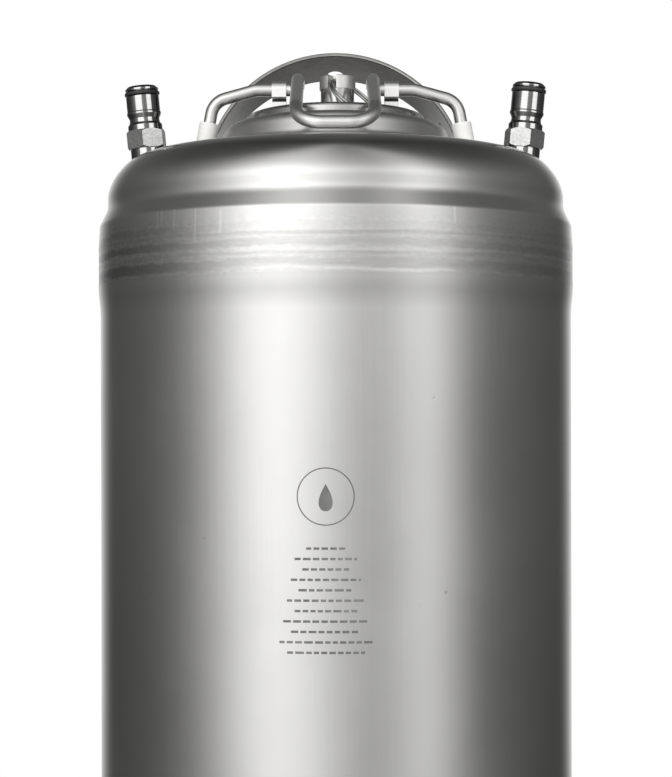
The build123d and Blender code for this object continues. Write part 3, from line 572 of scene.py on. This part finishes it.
FULLER = 0.6  # bulge of the drawn shoulder just below its widest point
JOGGLE_STEPS = 80


def fuller(z):
    """The drawn shoulder bulges a little below its widest point and is flatter above."""
    return FULLER * exp(-(((z - SHOULDER_H) / 5.5) ** 2)) - 0.5 * exp(-(((z - 16) / 4.0) ** 2))


def lean_radius(z):
    """Outside radius that the lean of the sheet gives at a height, summed from the shoulder down."""
    size = (SHOULDER_H - z) / JOGGLE_STEPS
    slopes = [joggle_slope(SHOULDER_H - size * (i + 0.5)) for i in range(JOGGLE_STEPS)]
    return SHOULDER_R + FULLER + sum(slopes) * size


SEAM_GAP = BAND_R - lean_radius(SEAM)  # what the lean leaves short of the band at the seam


def joggle_radius(z):
    """Outside radius between the shoulder and the seam, blended to end flush with the wall."""
    return lean_radius(z) + SEAM_GAP * smooth(-14, SEAM, z)


def head_profile(turn):
    """Closed section of the top head at one turn: outside from the seam up, then back inside."""
    neck, mouth = oval_radius(turn, NECK_X, NECK_Y), oval_radius(turn, OPENING_X, OPENING_Y)
    profile = [(BELOW_SHOULDER[i], z) for i, z in enumerate(BAND_HEIGHTS)]
    tilt = pi / 2 - asin(KNUCKLE_X / (DOME - KNUCKLE))
    for i in range(1, KNUCKLE_STEPS + 1):
        a = tilt * i / KNUCKLE_STEPS
        z = SHOULDER_H + KNUCKLE * sin(a)
        profile.append((KNUCKLE_X + KNUCKLE * cos(a) + fuller(z) * cos(a), z))
    last = neck + NECK_BLEND
    for i in range(1, 13):
        r = KNUCKLE_X + (last - KNUCKLE_X) * i / 12
        profile.append((r, head_height(r)))
    base = head_height(last)
    for i in range(1, 9):
        a = pi / 2 * i / 8
        profile.append((last - NECK_BLEND * sin(a), base + NECK_BLEND * (1 - cos(a))))
    shoulder = NECK_TOP - NECK_ROUND
    profile.append((neck, (base + NECK_BLEND + shoulder) / 2))
    for i in range(13):
        a = pi / 2 * i / 12
        profile.append((neck - NECK_ROUND * (1 - cos(a)), shoulder + NECK_ROUND * sin(a)))
    for i in range(9):
        a = pi / 2 * i / 8
        profile.append((mouth + MOUTH_ROUND * (1 - sin(a)), NECK_TOP - MOUTH_ROUND * (1 - cos(a))))
    profile.append((mouth, LIP_END))
    profile.append((mouth + SHEET, LIP_END))
    profile.append((mouth + SHEET, NECK_TOP - SHEET - 2))
    inner = neck - SHEET
    for i in range(9):
        a = pi / 2 * i / 8
        r = NECK_ROUND - SHEET
        profile.append((inner - r * (1 - sin(a)), shoulder + r * cos(a)))
    profile.append((inner, base + 1.0))
    for i in range(1, 9):
        r = inner + (KNUCKLE_X - inner) * i / 8
        profile.append((r, DOME_Z + sqrt((DOME - SHEET) ** 2 - r**2)))
    for i in range(13):
        a = tilt * (1 - i / 12)
        r = KNUCKLE - SHEET
        profile.append((KNUCKLE_X + r * cos(a), SHOULDER_H + r * sin(a)))
    profile += swell(SHOULDER_R, SHOULDER_H, BAND_R, BAND_TOP, SHEET, 16)[1:]
    profile.append((BAND_R - SHEET, SEAM))
    return profile


BLEND_TOP = -13.0  # the joggle is cut into finer rows above this height
BAND_HEIGHTS = [SEAM + i * (BLEND_TOP - SEAM) / 18 for i in range(18)]
BAND_HEIGHTS += [BLEND_TOP + i * (SHOULDER_H - BLEND_TOP) / 44 for i in range(45)]
BELOW_SHOULDER = [joggle_radius(z) for z in BAND_HEIGHTS]
KNUCKLE_STEPS = 32
DENTED_ROWS = len(BAND_HEIGHTS) + KNUCKLE_STEPS  # rows of the outside, from the seam to the dome
columns = []
for j in range(AROUND):
    turn = 2 * pi * j / AROUND
    column = []
    for k, (r, z) in enumerate(head_profile(turn)):
        dent = 0.0
        if k < DENTED_ROWS:
            dent = weld_mark(turn, z) + sway(turn, z) * smooth(SEAM, SEAM + 6, z) * smooth(22, 14, z)
        column.append(((r - dent) * cos(turn), (r - dent) * sin(turn), JOGGLE + z))
    columns.append(column)
rows = len(columns[0])
points = [columns[j][k] for k in range(rows) for j in range(AROUND)]
faces = [face[::-1] for face in ring_faces(rows, AROUND, True)]
head = finish_mesh("top_head_sheet", points, faces, "tank", TANK)
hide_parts("top_head")

# ---------------------------------------------------------------- weld beads
NECK_FOOT_IN = 0.5  # the leaning port neck meets the dome this much nearer the middle
BEAD_R = PORT_R + 0.35
HANDLE_X, HANDLE_IN, HANDLE_Y, HANDLE_RUN = 60.2, 1.65, 10.6, 26.2  # the handle's foot on the dome
parts = []
for side in (-1, 1):
    foot_x = POST_X - NECK_FOOT_IN
    path, bead = [], []
    for j in range(120):
        a = 2 * pi * j / 120
        x, y = side * foot_x + BEAD_R * cos(a), BEAD_R * sin(a)
        path.append((x, y, JOGGLE + head_height(sqrt(x * x + y * y)) + 0.05))
        bead.append(0.62 + 0.1 * sin(30 * a) + 0.08 * noise.noise(Vector((cos(a) * 3, sin(a) * 3, side))))
    parts.append(tube(path, lambda i, bead=bead: bead[i], 10, closed=True))
    for offset in (-1.15, 1.15):
        path = []
        for j in range(61):
            t = j / 60
            x, y = side * (HANDLE_X - HANDLE_IN * t + offset), HANDLE_Y + HANDLE_RUN * t
            path.append((x, y, JOGGLE + head_height(sqrt(x * x + y * y)) + 0.1))
        size = [
            (0.95 + 0.12 * sin(j * 1.9) + 0.1 * noise.noise(Vector((j * 0.2, offset, side))))
            * smooth(-1, 3, j) * smooth(61, 57, j) + 0.05
            for j in range(61)
        ]
        parts.append(tube(path, lambda i, size=size: size[i], 10))
points, faces = joined(parts)
finish_mesh("weld_beads", points, faces, "tank", BEAD, 60)

# ---------------------------------------------------------------- bail wire and pull ring
half = [
    (0, -74, 28.6), (LEVER, -74, 28.6), (LEVER, -64, 37.0), (LEVER, -14, 57.9),
    (LEVER, 0, PIVOT), (36.6, 0, PIVOT), (56.36, 0, 49.25), (60.2, 0, 28.4),
]
right = rounded(half, (11, 8, 20, 4.4, 14, 9))
path = [Vector((-p.x, p.y, p.z + JOGGLE)) for p in right[:0:-1]]
path += [Vector((p.x, p.y, p.z + JOGGLE)) for p in right]
points, faces = tube(path, WIRE, 40)
wire = finish_mesh("bail_rod", points, faces, "bail", ROD)
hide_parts("bail_wire")

RING_R, RING_WIRE, RING_DROOP, RING_TURN = 12.4, 0.62, 44.5, 36.0
hole = Vector((1.0, 0.0, JOGGLE + 58.6))
across = Vector((cos(radians(RING_TURN)), -sin(radians(RING_TURN)), 0))
along = Vector((sin(radians(RING_TURN)), cos(radians(RING_TURN)), 0))
outward = across * cos(radians(RING_DROOP)) - Vector((0, 0, sin(radians(RING_DROOP))))
normal = along.cross(outward)
path = []
for i in range(361):
    a = 4 * pi * i / 360 + 0.9
    shift = 0.58 * (2 * smooth(160, 200, i) - 1)
    path.append(hole + outward * RING_R - (outward * cos(a) + along * sin(a)) * RING_R + normal * shift)
points, faces = tube(path, RING_WIRE, 18)
ring = finish_mesh("split_ring", points, faces, "ring", RING)
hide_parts("pull_ring")

# ---------------------------------------------------------------- springs
def coil(node, foot, lean, body, sizes):
    """A round-wire spring coiled from its lowest to its highest place.

    sizes are the radii of wire and coil, its turns, its lowest and highest place, and its travel, which is
    not used.
    """
    wire, radius, turns, low, high, travel = sizes
    axis = Vector((sin(lean), 0, cos(lean)))
    side = Vector((cos(lean), 0, -sin(lean)))
    depth = axis.cross(side)
    foot = Vector(foot)
    path = []
    for i in range(24 * turns + 1):
        a = 2 * pi * i / 24
        height = low + (high - low) * i / (24 * turns)
        path.append(foot + axis * height + (side * cos(a) + depth * sin(a)) * radius)
    points, faces = tube(path, wire, 12)
    piece = finish_mesh(node + "_coil", points, faces, body, SPRING)
    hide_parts(node)
    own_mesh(piece)


lean = radians(POST_LEAN)
for side, port, disc_low in ((-1, "gas", 22.8), (1, "liquid", 24.0)):
    foot = (side * POST_X, 0, JOGGLE + POST_Z)
    sizes = (0.35, 3.6, 6, 9.6, disc_low - 0.4, 3.5)
    coil(f"{port}_poppet_spring", foot, side * lean, "tank", sizes)
sizes = (0.45, 3.3, 6, 35.4, 49.9, 2.0)
coil("relief_valve_spring", (1.0, 0, JOGGLE), 0.0, "lid", sizes)

# ---------------------------------------------------------------- generic mark on the front
def wrapped(x, z, lift=0.04):
    """A point of the print, x round the drum from the front centre and z the height."""
    turn = x / KEG_R
    r = KEG_R + lift
    return (r * sin(turn), -r * cos(turn), z)


def strip(left, right_side, low, high, columns_across=6):
    """A small printed bar that follows the drum."""
    pts, quads = [], []
    for i in range(columns_across + 1):
        x = left + (right_side - left) * i / columns_across
        pts += [wrapped(x, low), wrapped(x, high)]
    for i in range(columns_across):
        quads.append((2 * i, 2 * i + 2, 2 * i + 3, 2 * i + 1))
    return pts, quads


MARK_X, MARK_Z, MARK_R = -4.3, 415.8, 11.9
parts = []
pts, quads = [], []
for j in range(120):
    a = 2 * pi * j / 120
    for r in (MARK_R, MARK_R - 0.5):
        pts.append(wrapped(MARK_X + r * cos(a), MARK_Z + r * sin(a)))
for j in range(120):
    k = (j + 1) % 120
    quads.append((2 * j, 2 * j + 1, 2 * k + 1, 2 * k))
parts.append((pts, quads))
pts = [wrapped(MARK_X, MARK_Z - 1.2)]
for j in range(72):
    a = 2 * pi * j / 72
    width = 3.9 * sin(a) * (0.5 - 0.5 * cos(a)) ** 0.6
    pts.append(wrapped(MARK_X + width, MARK_Z - 0.4 + 5.6 * cos(a)))
parts.append((pts, [(0, 1 + (j + 1) % 72, 1 + j) for j in range(72)]))
ROWS, SHORT_ROW, ROW_GROWTH, LONG_EXTRA = 11, 8.0, 0.8, 4.0
for row in range(ROWS):
    half_width = SHORT_ROW + ROW_GROWTH * row + LONG_EXTRA * (row % 2)
    z = 394.6 - 4.25 * row
    x, count = -half_width, 0
    while x < half_width - 0.8:
        length = 2.0 + 1.5 * abs(noise.noise(Vector((row * 1.7, count * 0.9, 0.4)))) * 2
        length = min(length, half_width - x)
        parts.append(strip(MARK_X + x, MARK_X + x + length, z - 0.5, z + 0.5))
        x += length + 0.9
        count += 1
points, faces = joined(parts)
finish_mesh("front_mark", points, faces, "tank", INK)

# ---------------------------------------------------------------- studio
scene = bpy.context.scene
world = bpy.data.worlds.new("studio")
scene.world = world
tree = Tree(world)
ray = tree.add("ShaderNodeTexCoord").outputs["Generated"]
x, y, z = tree.add("ShaderNodeSeparateXYZ", {0: ray}).outputs
turn = tree.math("ARCTAN2", x, tree.math("MULTIPLY", y, -1.0))
height = tree.math("ADD", tree.math("MULTIPLY", tree.math("ARCSINE", z), 1 / pi), 0.5)
# Lights round the keg as (degrees from the front, reach in degrees, strength), left negative.
LEFT_BOX, RIGHT_BOX, FRONT_FILL = (-29, 30, 1.05), (43, 18, 0.6), (0, 70, 0.42)
ROOM = 0.08
# The white backdrop behind the keg starts at this many degrees from the front.
BACKDROP_EDGE, BACKDROP_FULL, BACKDROP_LEVEL = 137, 180, 1.1
# Strength of the lights and of the backdrop by degrees over the horizon.
LEVELS = [(-90, 0.25), (-10, 0.85), (0, 1.0), (10, 1.25), (26, 1.4), (50, 0.7), (90, 0.3)]
GLOW = [(-90, 0.1), (-20, 0.5), (-8, 1.0), (10, 1.0), (24, 0.08), (90, 0.03)]
front = ROOM
for azimuth, reach, strength in (LEFT_BOX, RIGHT_BOX, FRONT_FILL):
    lamp_light = tree.bell(turn, radians(azimuth), radians(reach))
    front = tree.math("ADD", front, tree.math("MULTIPLY", lamp_light, strength))
from_front = tree.math("ABSOLUTE", turn)
back = tree.span(from_front, radians(BACKDROP_EDGE), radians(BACKDROP_FULL), 0.0, BACKDROP_LEVEL)
front_level = tree.ramp(height, [(a / 180 + 0.5, v) for a, v in LEVELS])
back_level = tree.ramp(height, [(a / 180 + 0.5, v) for a, v in GLOW])
light = tree.math(
    "ADD", tree.math("MULTIPLY", front, front_level), tree.math("MULTIPLY", back, back_level)
)
camera_ray = tree.add("ShaderNodeLightPath").outputs["Is Camera Ray"]
seen = tree.add("ShaderNodeMix", {0: camera_ray, 2: light, 3: 1.0}).outputs[0]
background = tree.nodes["Background"]
tree.links.new(seen, background.inputs["Color"])


def softbox(name, where, target, size, power):
    """An area light that only lights matt surfaces; the world gives the metal its reflections."""
    lamp = bpy.data.lights.new(name, "AREA")
    lamp.shape, lamp.size, lamp.size_y, lamp.energy = "RECTANGLE", size, size, power
    box = bpy.data.objects.new(name, lamp)
    box.location = where
    box.rotation_euler = (Vector(target) - Vector(where)).to_track_quat("-Z", "Y").to_euler()
    box.visible_camera = False
    box.visible_glossy = False
    scene.collection.objects.link(box)


def strip_light(name, azimuth, width, power, receivers):
    """A tall softbox that shows only in the polished pieces."""
    where = Vector((3.2 * sin(radians(azimuth)), -3.2 * cos(radians(azimuth)), 1.2))
    lamp = bpy.data.lights.new(name, "AREA")
    lamp.shape, lamp.size, lamp.size_y, lamp.energy = "RECTANGLE", width, 3.0, power
    box = bpy.data.objects.new(name, lamp)
    box.location = where
    box.rotation_euler = (Vector((0, 0, 0.8)) - where).to_track_quat("-Z", "Y").to_euler()
    box.visible_camera = False
    scene.collection.objects.link(box)
    box.light_linking.receiver_collection = receivers


polished = bpy.data.collections.new("polished")
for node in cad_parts:
    if finish_of[node] in (LEFT_POST, RIGHT_POST):
        polished.objects.link(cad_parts[node])
strip_light("strip_left", -27, 2.7, 84, polished)
strip_light("strip_right", 46, 1.9, 62, polished)
softbox("key", (-2.4, -3.4, 2.6), (0, 0, 0.5), 2.0, 190)
softbox("fill", (2.8, -3.0, 1.6), (0, 0, 0.45), 2.2, 110)
softbox("rear", (0.6, 3.6, 2.8), (0, 0, 0.4), 2.4, 120)

floor_mesh = bpy.data.meshes.new("floor")
edge = [(1.45 * cos(2 * pi * i / 96), 1.45 * sin(2 * pi * i / 96), 0) for i in range(96)]
floor_mesh.from_pydata(edge, [], [tuple(range(96))])
floor = bpy.data.objects.new("floor", floor_mesh)
scene.collection.objects.link(floor)
material, tree, shader = principled("floor_pale", (0.86, 0.86, 0.855), 0.0, 0.8)
place = tree.add("ShaderNodeTexCoord").outputs["Object"]
distance = tree.add("ShaderNodeVectorMath", {0: place}, operation="LENGTH").outputs["Value"]
clear = tree.add("ShaderNodeBsdfTransparent").outputs[0]
mixed = tree.add("ShaderNodeMixShader", {0: tree.span(distance, 0.75, 1.4), 1: shader.outputs[0], 2: clear})
tree.links.new(mixed.outputs[0], tree.nodes["Material Output"].inputs[0])
floor_mesh.materials.append(material)
floor.visible_glossy = False

# The camera looks level at the keg from the front, with the photograph's slight roll.
CAMERA_AWAY, CAMERA_HEIGHT, CAMERA_ROLL = 0.9, 0.447, 0.12
camera_data = bpy.data.cameras.new("camera")
camera_data.lens = 90.1
camera_data.sensor_width = 36
camera_data.shift_y = 0.0405
camera_data.clip_start = 0.05
camera = bpy.data.objects.new("camera", camera_data)
camera.location = (0.0, -CAMERA_AWAY, CAMERA_HEIGHT)
camera.rotation_euler = (radians(90), radians(CAMERA_ROLL), 0)
scene.collection.objects.link(camera)
scene.camera = camera
scene.view_settings.view_transform = "Standard"
